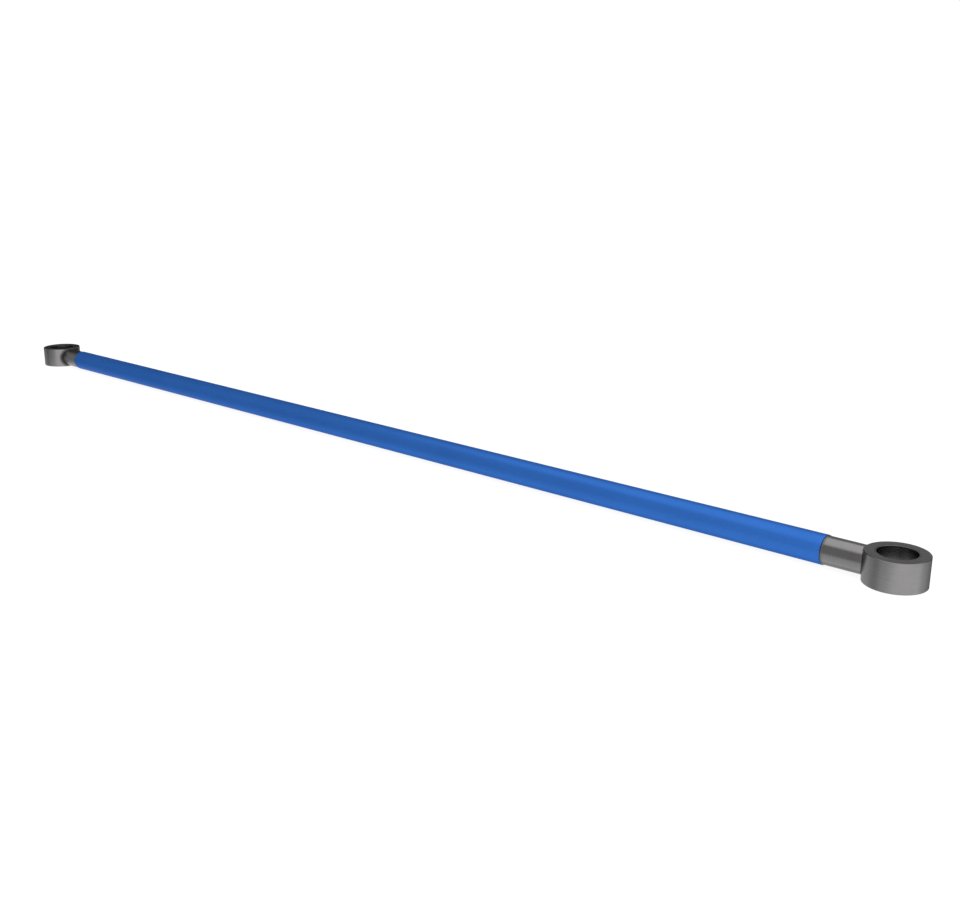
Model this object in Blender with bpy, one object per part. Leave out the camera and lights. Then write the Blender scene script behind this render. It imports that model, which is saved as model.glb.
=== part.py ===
"""Straight tubular sway bar with a bushed eye at each end.

A painted steel tube is closed by a turned shank at each end, and each shank is coped to
the outside of an upright ring eye and welded to it.  A thin liner is pressed into each eye.

The bar lies along X with its middle at the origin, and both eye axes point along Z, so the
bar lies flat on the lower faces of its eyes.  Sizes are in metres.
"""

import math

import bmesh
import bpy
from mathutils import Matrix, Vector

# Driving dimensions of the bar.
EYE_CENTRES = 1.2827
TUBE_OD = 0.0254
TUBE_WALL = 0.0032
EYE_OD = 0.0508
EYE_WIDTH = 0.0254
EYE_BORE = 0.0320
EYE_TO_TUBE = 0.0584
SHANK_OD = 0.0243

# Clearance between touching pieces.
GAP = 0.0003

# Smaller features.
EDGE_BREAK = 0.0005
TUBE_EDGE_BREAK = 0.0003
SPIGOT_LENGTH = 0.048
SPIGOT_NOSE = 0.0015
SEAM_WIDTH = 0.0012
SEAM_OD = 0.0248
LINER_WALL = 0.0008
LINER_RECESS = 0.0003
LINER_LEAD_IN = 0.0003

# The side weld between a shank and its eye: a crescent, widest at mid-height, where the
# round eye falls away from the round shank.
WELD_SHANK_LEG = 0.0005
WELD_EYE_LEG = 0.0021
WELD_CROWN = 0.0001
WELD_TIP = 0.2
WELD_TAPER = 0.75
WELD_START = math.radians(18.0)
WELD_STATIONS = 18
WELD_FACE_STEPS = 4

# Facets round a turned piece, and the angle above which an edge stays sharp.
SEGMENTS = 64
SHARP_ANGLE = math.radians(30.0)
MERGE = 1e-6

# Sizes that follow from the driving dimensions.
EYE_X = EYE_CENTRES / 2
EYE_R = EYE_OD / 2
SHANK_R = SHANK_OD / 2
TUBE_HALF = EYE_X - EYE_TO_TUBE
SHOULDER_X = TUBE_HALF + SEAM_WIDTH + 2 * GAP
SPIGOT_R = TUBE_OD / 2 - TUBE_WALL - GAP
LINER_R = EYE_BORE / 2 + LINER_WALL
LINER_SEAT_R = LINER_R + GAP

# Colour, roughness and metallic value of each finish.
FINISHES = {
    "blue_paint": ((0.030, 0.115, 0.520, 1.0), 0.35, 0.0),
    "turned_steel": ((0.230, 0.225, 0.225, 1.0), 0.42, 1.0),
    "eye_steel": ((0.250, 0.245, 0.245, 1.0), 0.45, 1.0),
    "weld_metal": ((0.045, 0.043, 0.042, 1.0), 0.60, 1.0),
    "liner_steel": ((0.210, 0.205, 0.205, 1.0), 0.35, 1.0),
}

# Each side of the bar: its sign along X.
SIDES = {"left": -1, "right": 1}


def clear_scene():
    """Remove every object of the open scene."""
    for scene_object in list(bpy.data.objects):
        bpy.data.objects.remove(scene_object, do_unlink=True)


def make_finish(name):
    """Make a Principled material from the finish table."""
    colour, roughness, metallic = FINISHES[name]
    material = bpy.data.materials.new(name)
    material.use_nodes = True
    shader = material.node_tree.nodes["Principled BSDF"]
    shader.inputs["Base Color"].default_value = colour
    shader.inputs["Roughness"].default_value = roughness
    shader.inputs["Metallic"].default_value = metallic
    material.diffuse_color = colour
    return material


def mesh_from(bm, name):
    """Turn a bmesh into a smooth-shaded mesh with sharp edges kept."""
    bmesh.ops.remove_doubles(bm, verts=bm.verts, dist=MERGE)
    bmesh.ops.recalc_face_normals(bm, faces=bm.faces)
    mesh = bpy.data.meshes.new(name)
    bm.to_mesh(mesh)
    bm.free()
    mesh.shade_smooth()
    mesh.set_sharp_from_angle(angle=SHARP_ANGLE)
    return mesh


def turned_mesh(name, outline, closed, on_flat):
    """Spin an outline of (radius, height) points round Z.

    With on_flat the facets are centred on the four sides, so that a piece lying on its
    side rests on a flat. Without it the corners lie there, at the full radius.
    """
    bm = bmesh.new()
    points = [bm.verts.new((radius, 0.0, height)) for radius, height in outline]
    edges = [bm.edges.new(pair) for pair in zip(points, points[1:])]
    if closed:
        edges.append(bm.edges.new((points[-1], points[0])))
    bmesh.ops.spin(
        bm,
        geom=points + edges,
        axis=(0.0, 0.0, 1.0),
        angle=math.tau,
        steps=SEGMENTS,
        use_merge=True,
    )
    if on_flat:
        half_facet = Matrix.Rotation(math.pi / SEGMENTS, 3, "Z")
        bmesh.ops.rotate(bm, verts=bm.verts, matrix=half_facet)
    return mesh_from(bm, name)


def ring_outline(inner_r, outer_r, length, inner_break, outer_break):
    """Section of a plain ring centred on its height, with broken edges."""
    half = length / 2
    return [
        (inner_r + inner_break, half),
        (outer_r - outer_break, half),
        (outer_r, half - outer_break),
        (outer_r, outer_break - half),
        (outer_r - outer_break, -half),
        (inner_r + inner_break, -half),
        (inner_r, inner_break - half),
        (inner_r, half - inner_break),
    ]


def add_piece(name, mesh, finish, location=(0.0, 0.0, 0.0), turn=(0.0, 0.0, 0.0)):
    """Put a mesh in the scene as one named piece."""
    piece = bpy.data.objects.new(name, mesh)
    if not mesh.materials:
        mesh.materials.append(finish)
    piece.location = location
    piece.rotation_euler = turn
    bpy.context.scene.collection.objects.link(piece)
    return piece


def along_bar(sign):
    """Rotation that lays a turned piece's own axis along the bar, outwards on one side."""
    return (0.0, sign * math.pi / 2, 0.0)


def add_tube(finish):
    """The painted tube, open at both ends."""
    inner_r = TUBE_OD / 2 - TUBE_WALL
    outline = ring_outline(
        inner_r, TUBE_OD / 2, 2 * TUBE_HALF, TUBE_EDGE_BREAK, TUBE_EDGE_BREAK
    )
    mesh = turned_mesh("bar_tube", outline, closed=True, on_flat=True)
    add_piece("bar_tube", mesh, finish, turn=along_bar(1))


def shank_mesh():
    """A shank before coping: spigot, square shoulder, and body run on to the eye's axis.

    Its own axis starts at the shoulder's face and points towards the eye.
    """
    outline = [
        (0.0, -SPIGOT_LENGTH),
        (SPIGOT_R - SPIGOT_NOSE, -SPIGOT_LENGTH),
        (SPIGOT_R, SPIGOT_NOSE - SPIGOT_LENGTH),
        (SPIGOT_R, 0.0),
        (SHANK_R - EDGE_BREAK, 0.0),
        (SHANK_R, EDGE_BREAK),
        (SHANK_R, EYE_X - SHOULDER_X),
        (0.0, EYE_X - SHOULDER_X),
    ]
    return turned_mesh("shank", outline, closed=False, on_flat=True)


def cope_cutter_mesh():
    """A cylinder one gap larger than the eye, which shapes the end of a shank."""
    bm = bmesh.new()
    bmesh.ops.create_cone(
        bm,
        cap_ends=True,
        segments=2 * SEGMENTS,
        radius1=EYE_R + GAP,
        radius2=EYE_R + GAP,
        depth=2 * EYE_WIDTH,
    )
    return mesh_from(bm, "cope_cutter")


def add_shanks(finish):
    """Both shanks, each coped to the outside of its eye."""
    body = shank_mesh()
    cutter_body = cope_cutter_mesh()
    for side, sign in SIDES.items():
        cutter = bpy.data.objects.new(f"cope_cutter_{side}", cutter_body)
        cutter.location = (sign * EYE_X, 0.0, 0.0)
        cutter.hide_render = True
        cutter.display_type = "WIRE"
        bpy.context.scene.collection.objects.link(cutter)
        shank = add_piece(
            f"shank_{side}", body, finish, (sign * SHOULDER_X, 0.0, 0.0), along_bar(sign)
        )
        cope = shank.modifiers.new("cope", "BOOLEAN")
        cope.operation = "DIFFERENCE"
        cope.solver = "EXACT"
        cope.object = cutter


def add_eyes(finish):
    """Both ring eyes, with upright axes."""
    outline = ring_outline(LINER_SEAT_R, EYE_R, EYE_WIDTH, EDGE_BREAK, EDGE_BREAK)
    mesh = turned_mesh("eye_ring", outline, closed=True, on_flat=False)
    for side, sign in SIDES.items():
        add_piece(f"eye_ring_{side}", mesh, finish, (sign * EYE_X, 0.0, 0.0))


def add_liners(finish):
    """The thin liner pressed into each eye, a little below both faces."""
    outline = ring_outline(
        EYE_BORE / 2,
        LINER_R,
        EYE_WIDTH - 2 * LINER_RECESS,
        LINER_LEAD_IN,
        LINER_LEAD_IN,
    )
    mesh = turned_mesh("bush", outline, closed=True, on_flat=False)
    for side, sign in SIDES.items():
        add_piece(f"bush_{side}", mesh, finish, (sign * EYE_X, 0.0, 0.0))


def add_seam_welds(finish):
    """The butt weld between the tube's end and the shank's shoulder, round the spigot."""
    outline = ring_outline(SPIGOT_R + GAP, SEAM_OD / 2, SEAM_WIDTH, 0.0, TUBE_EDGE_BREAK)
    mesh = turned_mesh("tube_weld", outline, closed=True, on_flat=True)
    middle = TUBE_HALF + GAP + SEAM_WIDTH / 2
    for side, sign in SIDES.items():
        add_piece(
            f"tube_weld_{side}", mesh, finish, (sign * middle, 0.0, 0.0), along_bar(sign)
        )


def weld_point(radius, roll, out):
    """Point on the eye's outside, or out from it along the bar.

    radius and roll place it round the bar's axis, with roll 0 at the top and a quarter
    turn at the front.  The eye's axis is at x = 0, and the bar comes from negative x.
    """
    y = -radius * math.sin(roll)
    z = radius * math.cos(roll)
    return Vector((-math.sqrt((EYE_R + GAP) ** 2 - y * y) - out, y, z))


def weld_section(progress):
    """Closed section of the side weld, at a progress of 0 to 1 round its shank."""
    roll = WELD_START + progress * (math.pi - 2 * WELD_START)
    swell = max(WELD_TIP, math.sin(math.pi * progress) ** WELD_TAPER)
    foot = SHANK_R + GAP
    eye_leg = swell * WELD_EYE_LEG
    steps = range(1, WELD_FACE_STEPS)
    shank_toe = weld_point(foot, roll, swell * WELD_SHANK_LEG)
    corner = weld_point(foot, roll, 0.0)
    on_eye = [
        weld_point(foot + eye_leg * step / WELD_FACE_STEPS, roll, 0.0) for step in steps
    ]
    eye_toe = weld_point(foot + eye_leg, roll, 0.0)
    crown_way = ((shank_toe + eye_toe) / 2 - corner).normalized()
    face = []
    for step in steps:
        share = step / WELD_FACE_STEPS
        crown = 4 * share * (1 - share) * swell * WELD_CROWN
        face.append(eye_toe.lerp(shank_toe, share) + crown * crown_way)
    return [shank_toe, corner, *on_eye, eye_toe, *face]


def side_weld_mesh():
    """The crescent weld in front of a right-hand eye, skinned over its sections."""
    bm = bmesh.new()
    rings = []
    for station in range(WELD_STATIONS + 1):
        section = weld_section(station / WELD_STATIONS)
        rings.append([bm.verts.new(point) for point in section])
    count = len(rings[0])
    for ring, next_ring in zip(rings, rings[1:]):
        for i in range(count):
            j = (i + 1) % count
            bm.faces.new((ring[i], ring[j], next_ring[j], next_ring[i]))
    bm.faces.new(rings[0])
    bm.faces.new(rings[-1])
    return mesh_from(bm, "eye_weld")


def add_side_welds(finish):
    """Four crescent welds: the same shape turned about the three axes."""
    mesh = side_weld_mesh()
    half_turn = math.pi
    turns = {
        ("right", "front"): (0.0, 0.0, 0.0),
        ("right", "back"): (half_turn, 0.0, 0.0),
        ("left", "front"): (0.0, half_turn, 0.0),
        ("left", "back"): (0.0, 0.0, half_turn),
    }
    for (side, face), turn in turns.items():
        location = (SIDES[side] * EYE_X, 0.0, 0.0)
        add_piece(f"eye_weld_{side}_{face}", mesh, finish, location, turn)


def build():
    """Make the whole bar."""
    clear_scene()
    finishes = {name: make_finish(name) for name in FINISHES}
    add_tube(finishes["blue_paint"])
    add_shanks(finishes["turned_steel"])
    add_eyes(finishes["eye_steel"])
    add_liners(finishes["liner_steel"])
    add_seam_welds(finishes["weld_metal"])
    add_side_welds(finishes["weld_metal"])


build()
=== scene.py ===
"""Looks of the straight tubular sway bar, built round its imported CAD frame.

Every visible piece is a finer mesh than its CAD node, with a procedural finish. The bar
lies along X with its eyes upright along Z. Sizes are in metres.
"""

import math

import bmesh
import bpy
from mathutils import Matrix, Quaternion, Vector


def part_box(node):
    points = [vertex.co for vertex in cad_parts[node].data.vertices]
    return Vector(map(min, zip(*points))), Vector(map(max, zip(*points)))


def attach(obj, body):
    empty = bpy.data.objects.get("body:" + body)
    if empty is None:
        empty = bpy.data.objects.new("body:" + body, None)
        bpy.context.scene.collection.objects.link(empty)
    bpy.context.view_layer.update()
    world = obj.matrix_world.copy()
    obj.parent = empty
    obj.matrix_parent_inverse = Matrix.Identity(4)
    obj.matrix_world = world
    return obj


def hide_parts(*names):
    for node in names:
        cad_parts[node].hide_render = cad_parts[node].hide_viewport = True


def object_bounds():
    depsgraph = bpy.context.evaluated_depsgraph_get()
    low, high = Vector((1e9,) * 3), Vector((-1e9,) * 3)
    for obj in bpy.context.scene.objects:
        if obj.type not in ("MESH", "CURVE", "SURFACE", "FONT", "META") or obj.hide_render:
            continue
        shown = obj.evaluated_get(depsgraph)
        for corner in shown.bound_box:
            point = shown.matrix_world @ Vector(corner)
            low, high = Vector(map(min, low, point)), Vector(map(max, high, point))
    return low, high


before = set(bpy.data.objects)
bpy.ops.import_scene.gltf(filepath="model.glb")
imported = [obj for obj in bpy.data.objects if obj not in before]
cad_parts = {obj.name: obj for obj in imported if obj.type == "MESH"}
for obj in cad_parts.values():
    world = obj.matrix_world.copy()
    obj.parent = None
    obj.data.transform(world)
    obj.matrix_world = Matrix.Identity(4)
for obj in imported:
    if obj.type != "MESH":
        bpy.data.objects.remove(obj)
CAD_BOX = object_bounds()

# Camera: place and direction of view in the frame, lens and sensor width, roll, and clipping.
CAMERA_PLACE = Vector((0.9575, -0.8342, 0.3246))
CAMERA_FORWARD = Vector((-0.6452, 0.7150, -0.2695))
CAMERA_LENS_MM = 42.8
CAMERA_SENSOR_MM = 36.0
CAMERA_ROLL = math.radians(0.26)
CAMERA_CLIP = (0.01, 50.0)

# Mesh fineness: steps of one turn, of a rounded corner, along a shank, over the end of a
# shank, over a seam's crown, and along and across a side weld.
TURN_STEPS = 256
ARC_STEPS = 5
SHANK_STEPS = 12
SHANK_END_RINGS = 6
SEAM_CROWN_STEPS = 8
WELD_STATIONS = 240
WELD_FACE_STEPS = 12

# Points closer than this merge, and edges sharper than this angle stay sharp.
MERGE = 1e-7
SHARP_ANGLE = math.radians(35.0)

# How far one fused piece runs into the next, so that no crack shows between them.
BITE = 0.0002

# Each side of the bar: its sign along X.
SIDES = {"left": -1, "right": 1}


# ---------------------------------------------------------------- sizes from the frame


def radii(node, centre, across):
    """Smallest and largest radius of a CAD node about an axis through centre.

    across holds the indices of the two directions at right angles to that axis.
    """
    i, j = across
    reach = [
        math.hypot(vertex.co[i] - centre[i], vertex.co[j] - centre[j])
        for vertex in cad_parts[node].data.vertices
    ]
    return min(reach), max(reach)


ABOUT_BAR = (1, 2)
ABOUT_EYE = (0, 1)
BAR_MIDDLE = Vector((0.0, 0.0, 0.0))
eye_low, eye_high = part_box("eye_ring_right")
EYE_CENTRE = (eye_low + eye_high) / 2
EYE_X = EYE_CENTRE.x
EYE_SEAT_R, EYE_R = radii("eye_ring_right", EYE_CENTRE, ABOUT_EYE)
EYE_HALF = (eye_high.z - eye_low.z) / 2
LINER_R = radii("bush_right", EYE_CENTRE, ABOUT_EYE)[0]
TUBE_INNER_R, TUBE_R = radii("bar_tube", BAR_MIDDLE, ABOUT_BAR)
TUBE_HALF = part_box("bar_tube")[1].x
SEAM_R = radii("tube_weld_right", BAR_MIDDLE, ABOUT_BAR)[1]
seam_low, seam_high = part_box("tube_weld_right")
SHOULDER_X = seam_high.x + (seam_low.x - TUBE_HALF)
SHANK_R = radii("shank_right", BAR_MIDDLE, ABOUT_BAR)[1]
SPIGOT_END_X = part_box("shank_right")[0].x


# ---------------------------------------------------------------- mesh helpers


def skin(name, sections, wrap_sections, wrap_points):
    """Skin a list of equal sections into one closed, smooth-shaded mesh.

    wrap_sections joins the last section to the first; without it the ends are capped.
    wrap_points joins a section's last point to its first; without it a section starts and
    ends on the axis, where its points merge with those of the others.
    """
    bm = bmesh.new()
    rows = [[bm.verts.new(point) for point in section] for section in sections]
    pairs = list(zip(rows, rows[1:]))
    if wrap_sections:
        pairs.append((rows[-1], rows[0]))
    count = len(rows[0])
    spans = count if wrap_points else count - 1
    for row, next_row in pairs:
        for i in range(spans):
            j = (i + 1) % count
            bm.faces.new((row[i], row[j], next_row[j], next_row[i]))
    if not wrap_sections:
        bm.faces.new(rows[0])
        bm.faces.new(rows[-1])
    bmesh.ops.remove_doubles(bm, verts=bm.verts, dist=MERGE)
    bmesh.ops.recalc_face_normals(bm, faces=bm.faces)
    mesh = bpy.data.meshes.new(name)
    bm.to_mesh(mesh)
    bm.free()
    mesh.shade_smooth()
    mesh.set_sharp_from_angle(angle=SHARP_ANGLE)
    return mesh


def rounded(corners, radius):
    """Round the corners of a closed outline of (r, h) points.

    radius is one radius for all, or a list with one for each corner.
    """
    count = len(corners)
    radius = radius if isinstance(radius, list) else [radius] * count
    outline = []
    for i, corner in enumerate(corners):
        corner = Vector(corner)
        back = (Vector(corners[i - 1]) - corner).normalized()
        ahead = (Vector(corners[(i + 1) % count]) - corner).normalized()
        half = math.acos(max(-1.0, min(1.0, back.dot(ahead)))) / 2
        run = radius[i] / math.tan(half)
        centre = corner + (back + ahead).normalized() * radius[i] / math.sin(half)
        start = (corner + back * run - centre).normalized()
        end = (corner + ahead * run - centre).normalized()
        for step in range(ARC_STEPS + 1):
            arm = start.slerp(end, step / ARC_STEPS) * radius[i]
            outline.append(tuple(centre + arm))
    return outline


def turned_about_z(outline, angle):
    """The outline's points of radius and height, at one angle round Z."""
    return [(r * math.cos(angle), r * math.sin(angle), h) for r, h in outline]


def turned_about_x(outline, angle):
    """The outline's points of radius and place along X, at one angle round X."""
    return [(h, -r * math.sin(angle), r * math.cos(angle)) for r, h in outline]


def angles(steps=TURN_STEPS):
    """Equal steps of one turn, without the last, which is the first again."""
    return [math.tau * step / steps for step in range(steps)]


def add_piece(name, mesh, material, nodes, place=(0, 0, 0), turn=(0, 0, 0)):
    """Put a mesh in the scene as a piece that rides on the frame in place of CAD nodes."""
    piece = bpy.data.objects.new(name, mesh)
    if not mesh.materials:
        mesh.materials.append(material)
    piece.location = place
    piece.rotation_euler = turn
    bpy.context.scene.collection.objects.link(piece)
    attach(piece, "root")
    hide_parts(*nodes)


def add_pair(name, mesh, material, node, offset=0.0, turned=True):
    """Put a mesh in the scene twice, for the right and left ends of the bar.

    offset is how far out along the bar each one stands. The left one is turned half round
    the vertical, unless turned is false.
    """
    for side, sign in SIDES.items():
        place = (sign * offset, 0.0, 0.0)
        turn = (0.0, 0.0, math.pi if turned and sign < 0 else 0.0)
        add_piece(f"{name}_{side}", mesh, material, [f"{node}_{side}"], place, turn)


# ---------------------------------------------------------------- material helpers


def feed(tree, socket, value):
    """Give a socket a number, a colour or another node's output."""
    if isinstance(value, bpy.types.NodeSocket):
        tree.links.new(value, socket)
    else:
        socket.default_value = value


class Finish:
    """A Principled material under construction, with short calls for its nodes."""

    def __init__(self, name, colour, roughness, metallic):
        self.material = bpy.data.materials.new(name)
        self.material.use_nodes = True
        self.tree = self.material.node_tree
        self.shader = self.tree.nodes["Principled BSDF"]
        self.set("Base Color", (*colour, 1.0))
        self.set("Roughness", roughness)
        self.set("Metallic", metallic)
        self.material.diffuse_color = (*colour, 1.0)

    def set(self, socket, value):
        """Set a number, or link a node's output, on a socket of the shader."""
        self.feed(self.shader.inputs[socket], value)

    def feed(self, socket, value):
        """Feed a socket of this material's node tree."""
        feed(self.tree, socket, value)

    def place(self):
        """The point in the piece's own space."""
        return self.tree.nodes.new("ShaderNodeTexCoord").outputs["Object"]

    def split(self, vector):
        """A vector's three numbers."""
        node = self.tree.nodes.new("ShaderNodeSeparateXYZ")
        self.feed(node.inputs[0], vector)
        return node.outputs[0], node.outputs[1], node.outputs[2]

    def join(self, x, y, z):
        """A vector of three numbers."""
        node = self.tree.nodes.new("ShaderNodeCombineXYZ")
        for socket, value in zip(node.inputs, (x, y, z)):
            self.feed(socket, value)
        return node.outputs[0]

    def maths(self, operation, first, second=0.0):
        """One step of arithmetic."""
        node = self.tree.nodes.new("ShaderNodeMath")
        node.operation = operation
        self.feed(node.inputs[0], first)
        self.feed(node.inputs[1], second)
        return node.outputs[0]

    def length(self, first, second):
        """The length of a vector of two numbers."""
        squares = self.maths("POWER", first, 2.0), self.maths("POWER", second, 2.0)
        return self.maths("SQRT", self.maths("ADD", *squares))

    def stretch(self, vector, scale):
        """A vector multiplied part by part."""
        node = self.tree.nodes.new("ShaderNodeVectorMath")
        node.operation = "MULTIPLY"
        self.feed(node.inputs[0], vector)
        node.inputs[1].default_value = scale
        return node.outputs[0]

    def noise(self, vector, scale, detail=2.0, roughness=0.5):
        """Smooth noise, about 0.5 on average."""
        node = self.tree.nodes.new("ShaderNodeTexNoise")
        self.feed(node.inputs["Vector"], vector)
        node.inputs["Scale"].default_value = scale
        node.inputs["Detail"].default_value = detail
        node.inputs["Roughness"].default_value = roughness
        return node.outputs["Fac"]

    def cells(self, vector, scale):
        """A random number for each of the cells that a Voronoi pattern divides space in."""
        node = self.tree.nodes.new("ShaderNodeTexVoronoi")
        self.feed(node.inputs["Vector"], vector)
        node.inputs["Scale"].default_value = scale
        return self.split(node.outputs["Color"])[0]

    def remap(self, value, low, high, to_low=0.0, to_high=1.0):
        """A number moved from one range to another, and kept inside it."""
        node = self.tree.nodes.new("ShaderNodeMapRange")
        node.interpolation_type = "SMOOTHSTEP"
        for socket, number in zip(node.inputs, (value, low, high, to_low, to_high)):
            self.feed(socket, number)
        return node.outputs[0]

    def blend(self, share, first, second):
        """A colour between two colours."""
        node = self.tree.nodes.new("ShaderNodeMix")
        node.data_type = "RGBA"
        self.feed(node.inputs["Factor"], share)
        for socket, colour in ((node.inputs[6], first), (node.inputs[7], second)):
            if isinstance(colour, tuple):
                colour = (*colour, 1.0)
            self.feed(socket, colour)
        return node.outputs[2]

    def shade(self, colour, factor):
        """A colour multiplied by a number."""
        node = self.tree.nodes.new("ShaderNodeVectorMath")
        node.operation = "SCALE"
        self.feed(node.inputs[0], colour)
        self.feed(node.inputs["Scale"], factor)
        return node.outputs[0]

    def bump(self, height, depth, under=None):
        """A normal raised by height times depth, on top of another bump."""
        node = self.tree.nodes.new("ShaderNodeBump")
        node.inputs["Strength"].default_value = 1.0
        node.inputs["Distance"].default_value = depth
        self.feed(node.inputs["Height"], height)
        if under is not None:
            self.feed(node.inputs["Normal"], under)
        return node.outputs[0]


# ---------------------------------------------------------------- finishes

PAINT_BLUE = (0.026, 0.115, 0.400)
PAINT_DEEP = (0.020, 0.088, 0.316)
PRIMER = (0.030, 0.032, 0.036)
STEEL = (0.215, 0.210, 0.212)
STEEL_DARK = (0.150, 0.146, 0.146)
STRAW = (0.150, 0.110, 0.070)
# Dark oxide colour of the weld metal, also used as painted shade beside the side welds, at the
# bore's rim and on the seam at the paint's edge.
OXIDE_AND_SHADE = (0.030, 0.030, 0.034)
OXIDE_BROWN = (0.060, 0.044, 0.034)
OXIDE_BLUE = (0.030, 0.036, 0.060)

# Paint: smooth and scuffed roughness, and the depths of its long wave and its orange peel.
PAINT_ROUGHNESS = 0.34
SCUFFED_ROUGHNESS = 0.46
PAINT_METALLIC = 0.50
PAINT_SPECULAR = 0.04
PAINT_SPECULAR_TINT = (0.35, 0.50, 1.0, 1.0)
WAVE_DEPTH = 0.00004
PEEL_DEPTH = 0.000018
CHIP_REACH = 0.0016

# Turned steel: how strongly its gloss follows the tool marks, and the depths of the marks
# and pits.
STEEL_ANISOTROPY = 0.35
MARK_DEPTH = 0.000004
PIT_DEPTH = 0.0000015

# Tool marks of the eye: how much they vary round it, and how many there are to a metre.
MARKS_AROUND = 1.4
MARKS_ACROSS = 3000.0

# Heat colour and painted shade beside the side welds, where the shank meets the eye, from where
# it starts
# to where it is full: on the shank by distance from the eye, and on the eye by radius about the
# bar, on the shank's side only.
# The eye's outside falls away from the shank's end by EYE_FALL times the offset squared.
SHANK_HEAT_AND_SHADE = (0.0021, 0.0005)
EYE_HEAT_AND_SHADE = (0.0173, 0.0155)
EYE_HEAT_AND_SHADE_SIDE = (-0.0170, -0.0185)
EYE_HEAT_AND_SHADE_SHARE = 0.78
EYE_FALL = 19.0


def paint_colour(finish, place):
    """Blue with slow changes of film thickness and fine metal flake."""
    slow = finish.noise(place, 14.0, 3.0)
    colour = finish.blend(finish.remap(slow, 0.3, 0.7), PAINT_DEEP, PAINT_BLUE)
    flake = finish.remap(finish.cells(place, 5200.0), 0.0, 1.0, 0.86, 1.14)
    return finish.shade(finish.blend(0.75, colour, PAINT_BLUE), flake)


def paint_bump(finish, place):
    """Orange peel of the sprayed powder, and a fainter long wave under it."""
    wave = finish.bump(finish.noise(place, 160.0, 1.0), WAVE_DEPTH)
    return finish.bump(finish.noise(place, 620.0, 2.0), PEEL_DEPTH, wave)


def make_paint():
    """Satin-gloss blue powder coat with a fine flake, worn through at the tube's ends."""
    finish = Finish("blue_powder_coat", PAINT_BLUE, PAINT_ROUGHNESS, PAINT_METALLIC)
    place = finish.place()
    along, _, _ = finish.split(place)
    colour = paint_colour(finish, place)
    from_end = finish.maths("SUBTRACT", TUBE_HALF, finish.maths("ABSOLUTE", along))
    chips = finish.remap(finish.noise(place, 520.0, 4.0), 0.56, 0.74, 0.0, CHIP_REACH)
    worn = finish.remap(finish.maths("SUBTRACT", from_end, chips), 0.0, -0.0003)
    finish.set("Base Color", finish.blend(worn, colour, PRIMER))
    scuffs = finish.noise(finish.stretch(place, (60.0, 900.0, 900.0)), 1.0, 5.0, 0.7)
    roughness = finish.remap(scuffs, 0.55, 0.85, PAINT_ROUGHNESS, SCUFFED_ROUGHNESS)
    finish.set("Roughness", roughness)
    finish.set("Normal", paint_bump(finish, place))
    finish.set("Specular IOR Level", PAINT_SPECULAR)
    finish.set("Specular Tint", PAINT_SPECULAR_TINT)
    return finish.material


def steel(finish, place, lines, weld_colour_and_shade):
    """Set the colour, roughness, bump and gloss that both turned steel finishes share.

    lines is the tool-mark pattern, and the last argument is 1 where welding colour and painted
    shade darken the steel, beside the side welds and at the bore's rim.
    """
    patches = finish.noise(place, 90.0, 4.0, 0.6)
    colour = finish.blend(finish.remap(patches, 0.35, 0.75, 0.0, 0.2), STEEL, STEEL_DARK)
    colour = finish.shade(colour, finish.remap(lines, 0.25, 0.75, 0.94, 1.06))
    # Straw colour, then dark scale, where the last argument is high; beside the side welds and
    # at the bore's rim this darkening is partly painted shade.
    warm = finish.remap(weld_colour_and_shade, 0.0, 0.6, 0.0, 0.30)
    scale = finish.remap(weld_colour_and_shade, 0.5, 1.0, 0.0, 0.85)
    colour = finish.blend(scale, finish.blend(warm, colour, STRAW), OXIDE_AND_SHADE)
    finish.set("Base Color", colour)
    stains = finish.noise(place, 240.0, 5.0, 0.65)
    roughness = finish.maths(
        "ADD",
        finish.remap(stains, 0.35, 0.75, 0.20, 0.27),
        finish.maths("MULTIPLY", weld_colour_and_shade, 0.15),
    )
    finish.set("Roughness", roughness)
    pits = finish.noise(place, 1800.0, 2.0, 0.6)
    marks = finish.bump(lines, MARK_DEPTH)
    finish.set("Normal", finish.bump(pits, PIT_DEPTH, marks))
    finish.set("Anisotropic", STEEL_ANISOTROPY)


def make_shank_steel():
    """Fine-turned steel with marks round the bar, darkened beside the eye weld by welding colour
    and by painted shade where the shank meets the eye.
    """
    finish = Finish("turned_shank_steel", STEEL, 0.30, 1.0)
    place = finish.place()
    along, across, _ = finish.split(place)
    lines = finish.noise(finish.stretch(place, (3200.0, 45.0, 45.0)), 1.0, 3.0, 0.6)
    # Darkening of the shank within a few millimetres of the eye: partly welding colour, partly
    # painted shade where the shank meets the eye.
    to_eye = finish.maths("SUBTRACT", EYE_X - EYE_R, finish.maths("ABSOLUTE", along))
    bowed = finish.maths("MULTIPLY", finish.maths("MULTIPLY", across, across), EYE_FALL)
    to_eye = finish.maths("ADD", to_eye, bowed)
    ragged = finish.maths("MULTIPLY", finish.noise(place, 500.0, 3.0), 0.0012)
    weld_colour_and_shade = finish.remap(finish.maths("ADD", to_eye, ragged), *SHANK_HEAT_AND_SHADE)
    steel(finish, place, lines, weld_colour_and_shade)
    return finish.material


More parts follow.
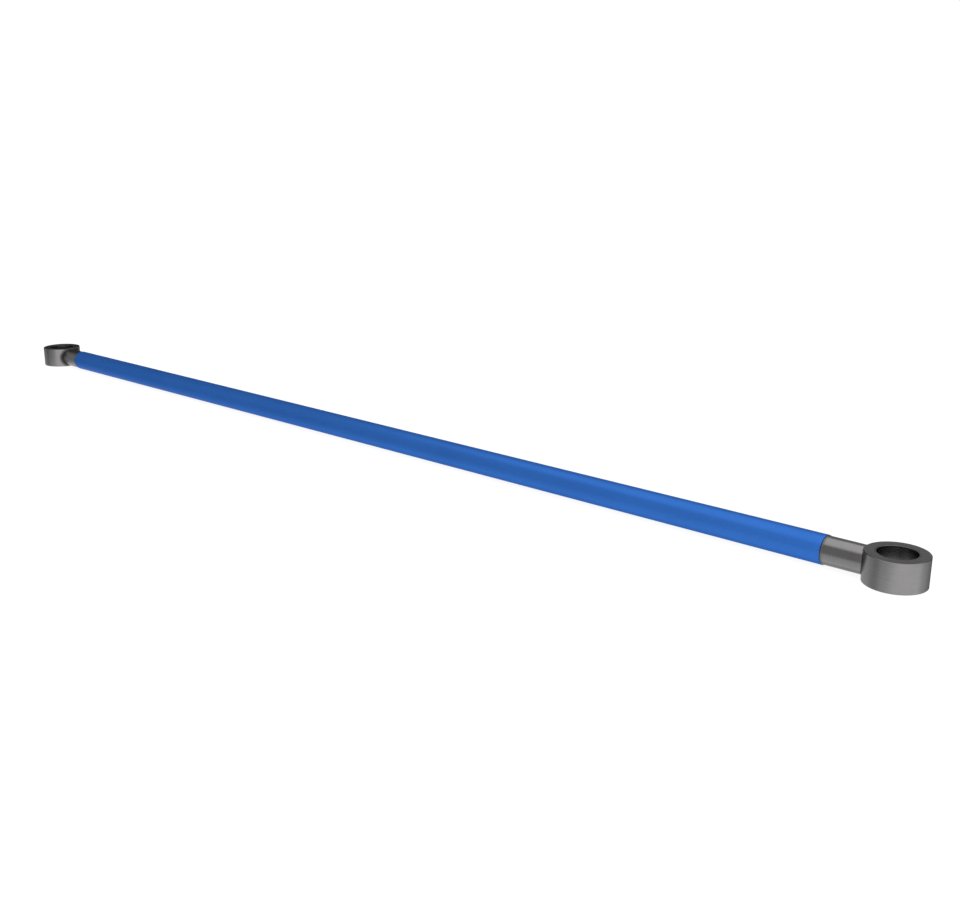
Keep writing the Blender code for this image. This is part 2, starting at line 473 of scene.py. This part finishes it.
def make_eye_steel():
    """Turned steel with marks round the eye's own axis, darkened at the weld by welding colour
    and painted shade, and at the bore's rim by grime and painted shade.

    In the piece's own space the eye's axis is Z and the shank comes from negative X.
    """
    finish = Finish("turned_eye_steel", STEEL, 0.30, 1.0)
    place = finish.place()
    x, y, z = finish.split(place)
    radius = finish.length(x, y)
    mark_place = finish.join(
        finish.maths("MULTIPLY", finish.maths("DIVIDE", x, radius), MARKS_AROUND),
        finish.maths("MULTIPLY", finish.maths("DIVIDE", y, radius), MARKS_AROUND),
        finish.maths("MULTIPLY", finish.maths("ADD", radius, z), MARKS_ACROSS),
    )
    lines = finish.noise(mark_place, 1.0, 3.0, 0.6)
    # Darkening round the shank's end on the eye's outside: welding colour and painted shade
    # where the eye meets the shank.
    off_bar = finish.length(y, z)
    ragged = finish.maths("MULTIPLY", finish.noise(place, 500.0, 3.0), 0.0015)
    near = finish.remap(finish.maths("ADD", off_bar, ragged), *EYE_HEAT_AND_SHADE)
    shank_side = finish.remap(x, *EYE_HEAT_AND_SHADE_SIDE)
    skin_only = finish.remap(radius, EYE_R - 0.0008, EYE_R - 0.0002)
    eye_weld_colour_and_shade = finish.maths("MULTIPLY", finish.maths("MULTIPLY", near, shank_side), skin_only)
    # Dark ring at the bore's rim, where the liner meets the eye: grime in the crevice, and
    # painted shade in place of the rim's highlight.
    rim_grime_and_shade = finish.remap(radius, EYE_SEAT_R + 0.00035, EYE_SEAT_R + 0.0001)
    eye_weld_colour_and_shade = finish.maths("MULTIPLY", eye_weld_colour_and_shade, EYE_HEAT_AND_SHADE_SHARE)
    steel(finish, place, lines, finish.maths("MAXIMUM", eye_weld_colour_and_shade, rim_grime_and_shade))
    return finish.material


def make_weld_metal():
    """Dark weld metal under a thin brown and blue oxide."""
    finish = Finish("weld_metal", OXIDE_AND_SHADE, 0.45, 0.9)
    place = finish.place()
    patches = finish.noise(place, 420.0, 4.0, 0.6)
    brown = finish.blend(finish.remap(patches, 0.4, 0.7), OXIDE_AND_SHADE, OXIDE_BROWN)
    blue = finish.remap(finish.noise(place, 700.0, 2.0), 0.52, 0.75, 0.0, 0.6)
    finish.set("Base Color", finish.blend(blue, brown, OXIDE_BLUE))
    finish.set("Roughness", finish.remap(patches, 0.3, 0.8, 0.38, 0.62))
    finish.set("Normal", finish.bump(finish.noise(place, 2400.0, 4.0, 0.6), 0.00002))
    return finish.material


def make_seam_finish():
    """The seam weld: dark where the paint stops, with weld oxide and painted shade of the step
    at the tube's end, dressed to grey steel at the shank.
    """
    finish = Finish("dressed_seam_weld", STEEL_DARK, 0.40, 1.0)
    place = finish.place()
    along, _, _ = finish.split(place)
    ragged = finish.maths("MULTIPLY", finish.noise(place, 700.0, 3.0), 0.0008)
    past_tube = finish.maths("SUBTRACT", finish.maths("ABSOLUTE", along), TUBE_HALF)
    dressed = finish.remap(finish.maths("ADD", past_tube, ragged), 0.0006, 0.0013)
    # The dark band at the paint's edge is weld oxide and painted shade of the step at the tube's
    # end.
    finish.set("Base Color", finish.blend(dressed, OXIDE_AND_SHADE, STEEL_DARK))
    finish.set("Roughness", finish.remap(dressed, 0.0, 1.0, 0.50, 0.34))
    file_marks = finish.noise(finish.stretch(place, (900.0, 2600.0, 2600.0)), 1.0, 3.0, 0.6)
    finish.set("Normal", finish.bump(file_marks, 0.000012))
    return finish.material


def make_liner_finish():
    """Honed bare steel, with fine rings that the pin has rubbed round the hole."""
    finish = Finish("honed_liner_steel", STEEL, 0.26, 1.0)
    place = finish.place()
    rubbed = finish.noise(finish.stretch(place, (25.0, 25.0, 2600.0)), 1.0, 3.0, 0.6)
    stains = finish.noise(place, 260.0, 4.0, 0.6)
    colour = finish.blend(finish.remap(stains, 0.5, 0.8, 0.0, 0.5), STEEL, STEEL_DARK)
    colour = finish.shade(colour, finish.remap(rubbed, 0.3, 0.7, 0.92, 1.06))
    x, y, _ = finish.split(place)
    # Dark ring where the liner meets the eye: grime in the crevice, and painted shade in place
    # of the rim's highlight.
    rim_grime_and_shade = finish.remap(finish.length(x, y), EYE_SEAT_R - 0.0004, EYE_SEAT_R - 0.0001)
    finish.set("Base Color", finish.blend(rim_grime_and_shade, colour, OXIDE_AND_SHADE))
    finish.set("Roughness", finish.remap(rubbed, 0.3, 0.7, 0.20, 0.30))
    finish.set("Normal", finish.bump(rubbed, 0.000003))
    return finish.material


# ---------------------------------------------------------------- pieces

# Small features: rounds, chamfers, the seam's ripples and the liner's place in its eye.
PAINT_FILM_EDGE = 0.0004
SEAM_RIPPLE = 0.00006
SEAM_RIPPLES = 46
EYE_CHAMFER = 0.0003
EYE_EDGE_ROUND = 0.00012
SEAT_CHAMFER = 0.00012
SEAT_EDGE_ROUND = 0.00004
SPIGOT_NOSE = 0.0015
SHOULDER_BREAK = 0.0004
LINER_LEAD_IN = 0.00012
LINER_BELOW_FACE = 0.0001


def make_tube(material):
    """The painted tube, rounded a little at its ends by the paint film."""
    corners = [
        (TUBE_R, TUBE_HALF),
        (TUBE_R, -TUBE_HALF),
        (TUBE_INNER_R, -TUBE_HALF),
        (TUBE_INNER_R, TUBE_HALF),
    ]
    film = PAINT_FILM_EDGE
    outline = rounded(corners, [film, film, film / 2, film / 2])
    sections = [turned_about_x(outline, angle) for angle in angles()]
    mesh = skin("painted_tube", sections, wrap_sections=True, wrap_points=True)
    add_piece("painted_tube", mesh, material, ["bar_tube"])


def eye_face_x(radius, angle, depth):
    """Place along the bar of the right-hand eye's outside, at a radius about the bar.

    depth is how far inside the eye the point lies.
    """
    y = radius * math.sin(angle)
    return EYE_X - math.sqrt((EYE_R - depth) ** 2 - y * y)


def shank_section(angle):
    """Outline of the right-hand shank at one angle round the bar, from axis to axis."""
    spigot_r = TUBE_INNER_R - BITE
    spigot_side = spigot_r - SPIGOT_NOSE
    shoulder = SHOULDER_X - BITE
    points = [
        (0.0, SPIGOT_END_X),
        (spigot_side, SPIGOT_END_X),
        (spigot_r, SPIGOT_END_X + SPIGOT_NOSE),
        (spigot_r, shoulder),
        (SHANK_R - SHOULDER_BREAK, shoulder),
        (SHANK_R, shoulder + SHOULDER_BREAK),
    ]
    body_start = shoulder + SHOULDER_BREAK
    body_end = eye_face_x(SHANK_R, angle, BITE)
    for step in range(1, SHANK_STEPS + 1):
        along = body_start + (body_end - body_start) * step / SHANK_STEPS
        points.append((SHANK_R, along))
    for ring in range(SHANK_END_RINGS - 1, -1, -1):
        radius = SHANK_R * ring / SHANK_END_RINGS
        points.append((radius, eye_face_x(radius, angle, BITE)))
    return turned_about_x(points, angle)


def make_shanks(material):
    """Both shanks, coped to their eyes."""
    sections = [shank_section(angle) for angle in angles()]
    mesh = skin("turned_shank", sections, wrap_sections=True, wrap_points=False)
    add_pair("turned_shank", mesh, material, "shank")


def make_eyes(material):
    """Both ring eyes, with chamfered and softly rounded edges."""
    cut = EYE_CHAMFER
    seat_cut = SEAT_CHAMFER
    outer = EYE_EDGE_ROUND
    inner = SEAT_EDGE_ROUND
    corners = [
        (EYE_R, EYE_HALF - cut),
        (EYE_R, cut - EYE_HALF),
        (EYE_R - cut, -EYE_HALF),
        (EYE_SEAT_R + seat_cut, -EYE_HALF),
        (EYE_SEAT_R, seat_cut - EYE_HALF),
        (EYE_SEAT_R, EYE_HALF - seat_cut),
        (EYE_SEAT_R + seat_cut, EYE_HALF),
        (EYE_R - cut, EYE_HALF),
    ]
    outline = rounded(corners, [outer, outer, outer, inner, inner, inner, inner, outer])
    sections = [turned_about_z(outline, angle) for angle in angles()]
    mesh = skin("ring_eye", sections, wrap_sections=True, wrap_points=True)
    add_pair("ring_eye", mesh, material, "eye_ring", EYE_X)


def make_liners(material):
    """The thin liner in each eye, a hair below the eye's faces."""
    lead = LINER_LEAD_IN
    outer = EYE_SEAT_R + BITE / 2
    half = EYE_HALF - LINER_BELOW_FACE
    corners = [
        (outer, half),
        (outer, -half),
        (LINER_R + lead, -half),
        (LINER_R, lead - half),
        (LINER_R, half - lead),
        (LINER_R + lead, half),
    ]
    outline = rounded(corners, SEAT_EDGE_ROUND)
    sections = [turned_about_z(outline, angle) for angle in angles()]
    mesh = skin("bore_liner", sections, wrap_sections=True, wrap_points=True)
    add_pair("bore_liner", mesh, material, "bush", EYE_X, turned=False)


def seam_section(angle):
    """Section of the right-hand seam weld at one angle round the bar."""
    inner = TUBE_INNER_R - 2 * BITE
    low = TUBE_HALF - BITE
    high = SHOULDER_X + BITE
    ripple = SEAM_RIPPLE * math.sin(SEAM_RIPPLES * angle)
    points = [(inner, low), (SEAM_R - BITE, low)]
    for step in range(1, SEAM_CROWN_STEPS):
        share = step / SEAM_CROWN_STEPS
        crown = math.sin(math.pi * share) * (BITE + ripple)
        points.append((SEAM_R - BITE + crown, low + (high - low) * share))
    points += [(SHANK_R - BITE, high), (inner, high)]
    return turned_about_x(points, angle)


def make_seams(material):
    """The dressed seam weld between tube and shank, still faintly rippled."""
    sections = [seam_section(angle) for angle in angles()]
    mesh = skin("seam_weld", sections, wrap_sections=True, wrap_points=True)
    add_pair("seam_weld", mesh, material, "tube_weld")


# The side weld: its legs and crown at its widest, the share of them left at its tips, how it
# tapers, the angle from the top where it starts, and its ripples.
WELD_SHANK_LEG = 0.0005
WELD_EYE_LEG = 0.0021
WELD_TIP = 0.2
WELD_TAPER = 0.75
WELD_START = math.radians(17.0)
WELD_CROWN = 0.0002
RIPPLE_PITCH = 0.0013
RIPPLE_DEPTH = 0.00012
RIPPLE_BOW = 0.9
RIPPLE_SHARPNESS = 0.7


def weld_point(radius, roll, out, sink):
    """Point on the eye's outside at a radius and roll about the bar, or out along the bar."""
    y = -radius * math.sin(roll)
    z = radius * math.cos(roll)
    return Vector((-math.sqrt((EYE_R - sink) ** 2 - y * y) - out, y, z))


def weld_section(progress):
    """Section of the side weld, with the ripples of its passes on its face."""
    roll = WELD_START + progress * (math.pi - 2 * WELD_START)
    swell = max(WELD_TIP, math.sin(math.pi * progress) ** WELD_TAPER)
    foot = SHANK_R - BITE
    eye_leg = swell * WELD_EYE_LEG
    travelled = SHANK_R * roll
    steps = range(1, WELD_FACE_STEPS)
    shank_toe = weld_point(foot, roll, swell * WELD_SHANK_LEG, 0.0)
    corner = weld_point(foot, roll, 0.0, BITE)
    on_eye = [
        weld_point(foot + eye_leg * step / WELD_FACE_STEPS, roll, 0.0, BITE) for step in steps
    ]
    eye_toe = weld_point(foot + eye_leg, roll, 0.0, BITE)
    crown_way = ((shank_toe + eye_toe) / 2 - corner).normalized()
    face = []
    for step in steps:
        share = step / WELD_FACE_STEPS
        arch = 4 * share * (1 - share)
        phase = travelled / RIPPLE_PITCH + RIPPLE_BOW * arch
        scallop = abs(math.sin(math.pi * phase)) ** RIPPLE_SHARPNESS
        rise = swell * arch * WELD_CROWN + arch**0.5 * swell * RIPPLE_DEPTH * scallop
        face.append(eye_toe.lerp(shank_toe, share) + rise * crown_way)
    return [shank_toe, corner, *on_eye, eye_toe, *face]


def make_side_welds(material):
    """Four rippled crescent welds, one shape turned about the three axes."""
    sections = [weld_section(step / WELD_STATIONS) for step in range(WELD_STATIONS + 1)]
    mesh = skin("side_weld", sections, wrap_sections=False, wrap_points=True)
    turns = {
        ("right", "front"): (0.0, 0.0, 0.0),
        ("right", "back"): (math.pi, 0.0, 0.0),
        ("left", "front"): (0.0, math.pi, 0.0),
        ("left", "back"): (0.0, 0.0, math.pi),
    }
    for (side, face), turn in turns.items():
        add_piece(
            f"side_weld_{side}_{face}",
            mesh,
            material,
            [f"eye_weld_{side}_{face}"],
            (SIDES[side] * EYE_X, 0.0, 0.0),
            turn,
        )


# ---------------------------------------------------------------- stage, light, camera

# The stage: how far it is below the bar, the radii of its flat and of its sweep, the height
# of its wall, its steps, and its surface. Its own glow makes it an even white.
STAGE_DROP = 0.0002
STAGE_FLAT_R = 3.2
STAGE_SWEEP_R = 1.4
STAGE_WALL_TOP = 5.0
STAGE_FLAT_STEPS = 4
STAGE_SWEEP_STEPS = 12
STAGE_TURN_STEPS = 96
STAGE_COLOUR = (0.12, 0.12, 0.12, 1.0)
STAGE_ROUGHNESS = 0.9
STAGE_GLOW = 0.90


def make_stage():
    """A round pale floor that sweeps up into a wall all round."""
    floor_z = CAD_BOX[0].z - STAGE_DROP
    outline = [
        (STAGE_FLAT_R * step / STAGE_FLAT_STEPS, floor_z) for step in range(STAGE_FLAT_STEPS + 1)
    ]
    for step in range(1, STAGE_SWEEP_STEPS + 1):
        angle = math.pi / 2 * step / STAGE_SWEEP_STEPS
        radius = STAGE_FLAT_R + STAGE_SWEEP_R * math.sin(angle)
        outline.append((radius, floor_z + STAGE_SWEEP_R * (1 - math.cos(angle))))
    outline.append((STAGE_FLAT_R + STAGE_SWEEP_R, STAGE_WALL_TOP))
    bm = bmesh.new()
    rows = [
        [bm.verts.new(point) for point in turned_about_z(outline, angle)]
        for angle in angles(STAGE_TURN_STEPS)
    ]
    for row, next_row in zip(rows, rows[1:] + rows[:1]):
        for i in range(len(row) - 1):
            bm.faces.new((row[i], row[i + 1], next_row[i + 1], next_row[i]))
    bmesh.ops.remove_doubles(bm, verts=bm.verts, dist=MERGE)
    mesh = bpy.data.meshes.new("pale_stage")
    bm.to_mesh(mesh)
    bm.free()
    mesh.shade_smooth()
    material = bpy.data.materials.new("pale_stage")
    material.use_nodes = True
    shader = material.node_tree.nodes["Principled BSDF"]
    shader.inputs["Base Color"].default_value = STAGE_COLOUR
    shader.inputs["Roughness"].default_value = STAGE_ROUGHNESS
    shader.inputs["Specular IOR Level"].default_value = 0.0
    shader.inputs["Emission Color"].default_value = (1.0, 1.0, 1.0, 1.0)
    shader.inputs["Emission Strength"].default_value = STAGE_GLOW
    mesh.materials.append(material)
    stage = bpy.data.objects.new("pale_stage", mesh)
    bpy.context.scene.collection.objects.link(stage)
    stage.visible_glossy = False


# Softboxes: place, the point that each one faces, width and height, and power in watts.
SOFTBOXES = {
    "overhead": ((0.0, 0.0, 2.4), (0.0, 0.0, 0.0), (3.0, 2.0), 14.0),
    "side_fill": ((1.25, -1.0, 0.2), (0.6, 0.0, 0.0), (0.6, 0.3), 13.0),
}


def add_softbox(name, place, target, size, power):
    """A rectangular soft light, aimed at a point."""
    light = bpy.data.lights.new(name, "AREA")
    light.shape = "RECTANGLE"
    light.size, light.size_y = size
    light.energy = power
    lamp = bpy.data.objects.new(name, light)
    lamp.location = place
    lamp.rotation_mode = "QUATERNION"
    lamp.rotation_quaternion = (Vector(target) - Vector(place)).to_track_quat("-Z", "Y")
    lamp.visible_camera = False
    lamp.visible_glossy = False
    bpy.context.scene.collection.objects.link(lamp)


# Levels of the studio surround by turn round the vertical: -0.5 and 0.5 are behind the bar,
# 0 is in front of it, and 0.25 is beyond its right-hand end.
BELOW_HORIZON = [
    (-0.50, 0.15),
    (-0.40, 0.55),
    (-0.31, 0.74),
    (-0.25, 0.90),
    (-0.20, 0.72),
    (-0.15, 0.56),
    (-0.05, 0.98),
    (0.07, 1.48),
    (0.28, 1.48),
    (0.36, 0.92),
    (0.44, 0.45),
    (0.50, 0.15),
]
ABOVE_HORIZON = [
    (-0.50, 0.08),
    (-0.46, 0.28),
    (-0.42, 0.28),
    (-0.34, 0.04),
    (-0.27, 0.06),
    (-0.21, 0.34),
    (-0.17, 0.55),
    (-0.13, 0.22),
    (-0.07, 0.46),
    (0.02, 0.68),
    (0.08, 1.40),
    (0.18, 1.40),
    (0.30, 0.60),
    (0.40, 0.24),
    (0.50, 0.08),
]
STRAIGHT_DOWN = [
    (-0.50, 0.60),
    (-0.30, 0.75),
    (-0.24, 0.90),
    (-0.17, 1.32),
    (-0.10, 1.06),
    (0.20, 1.06),
    (0.50, 0.60),
]

# Heights of a direction over which the tables blend: from below the horizon to above it, and
# from below it to straight down.
HORIZON_FADE = (-0.33, -0.09)
STRAIGHT_DOWN_FADE = (-0.40, -0.64)

# The bright panel overhead: its level, the direction of its middle, and where its edge fades.
OVERHEAD = 1.45
OVERHEAD_WAY = Vector((0.08, 0.10, 0.99))
OVERHEAD_EDGE = (0.60, 0.79)


def make_world():
    """A soft studio surround: a bright panel overhead, and levels that differ all round."""
    world = bpy.data.worlds.new("studio")
    bpy.context.scene.world = world
    world.use_nodes = True
    tree = world.node_tree
    background = tree.nodes["Background"]
    direction = tree.nodes.new("ShaderNodeTexCoord").outputs["Generated"]

    def maths(operation, first, second=0.0):
        node = tree.nodes.new("ShaderNodeMath")
        node.operation = operation
        for socket, value in zip(node.inputs, (first, second)):
            feed(tree, socket, value)
        return node.outputs[0]

    def step(value, low, high):
        node = tree.nodes.new("ShaderNodeMapRange")
        node.interpolation_type = "SMOOTHSTEP"
        tree.links.new(value, node.inputs["Value"])
        node.inputs["From Min"].default_value = low
        node.inputs["From Max"].default_value = high
        return node.outputs[0]

    def levels_round(turn, levels):
        ramp = tree.nodes.new("ShaderNodeValToRGB")
        ramp.color_ramp.interpolation = "EASE"
        elements = ramp.color_ramp.elements
        elements.remove(elements[0])
        for i, (place, level) in enumerate(levels):
            element = elements[0] if i == 0 else elements.new(place + 0.5)
            element.position = place + 0.5
            element.color = (level, level, level, 1.0)
        tree.links.new(turn, ramp.inputs[0])
        return ramp.outputs[0]

    def mix(share, first, second):
        node = tree.nodes.new("ShaderNodeMix")
        node.data_type = "FLOAT"
        feed(tree, node.inputs[0], share)
        feed(tree, node.inputs[2], first)
        feed(tree, node.inputs[3], second)
        return node.outputs[0]

    split = tree.nodes.new("ShaderNodeSeparateXYZ")
    tree.links.new(direction, split.inputs[0])
    x, y, z = split.outputs
    angle = maths("ARCTAN2", x, maths("MULTIPLY", y, -1.0))
    turn = maths("ADD", maths("DIVIDE", angle, math.tau), 0.5)
    below = mix(
        step(z, *STRAIGHT_DOWN_FADE),
        levels_round(turn, BELOW_HORIZON),
        levels_round(turn, STRAIGHT_DOWN),
    )
    around = mix(step(z, *HORIZON_FADE), below, levels_round(turn, ABOVE_HORIZON))
    shares = [maths("MULTIPLY", part, way) for part, way in zip((x, y, z), OVERHEAD_WAY)]
    to_panel = maths("ADD", maths("ADD", shares[0], shares[1]), shares[2])
    level = mix(step(to_panel, *OVERHEAD_EDGE), around, OVERHEAD)
    tree.links.new(level, background.inputs["Color"])
    background.inputs["Strength"].default_value = 1.0


def make_camera():
    """The camera, at the matched place, with its small roll."""
    data = bpy.data.cameras.new("camera")
    data.sensor_width = CAMERA_SENSOR_MM
    data.lens = CAMERA_LENS_MM
    data.clip_start, data.clip_end = CAMERA_CLIP
    camera = bpy.data.objects.new("camera", data)
    camera.location = CAMERA_PLACE
    camera.rotation_mode = "QUATERNION"
    level = CAMERA_FORWARD.to_track_quat("-Z", "Y")
    camera.rotation_quaternion = level @ Quaternion((0.0, 0.0, 1.0), CAMERA_ROLL)
    bpy.context.scene.collection.objects.link(camera)
    bpy.context.scene.camera = camera


make_camera()
make_stage()
make_world()
for softbox, settings in SOFTBOXES.items():
    add_softbox(softbox, *settings)
make_tube(make_paint())
make_shanks(make_shank_steel())
make_eyes(make_eye_steel())
make_liners(make_liner_finish())
make_seams(make_seam_finish())
make_side_welds(make_weld_metal())
bpy.context.scene.view_settings.view_transform = "Standard"
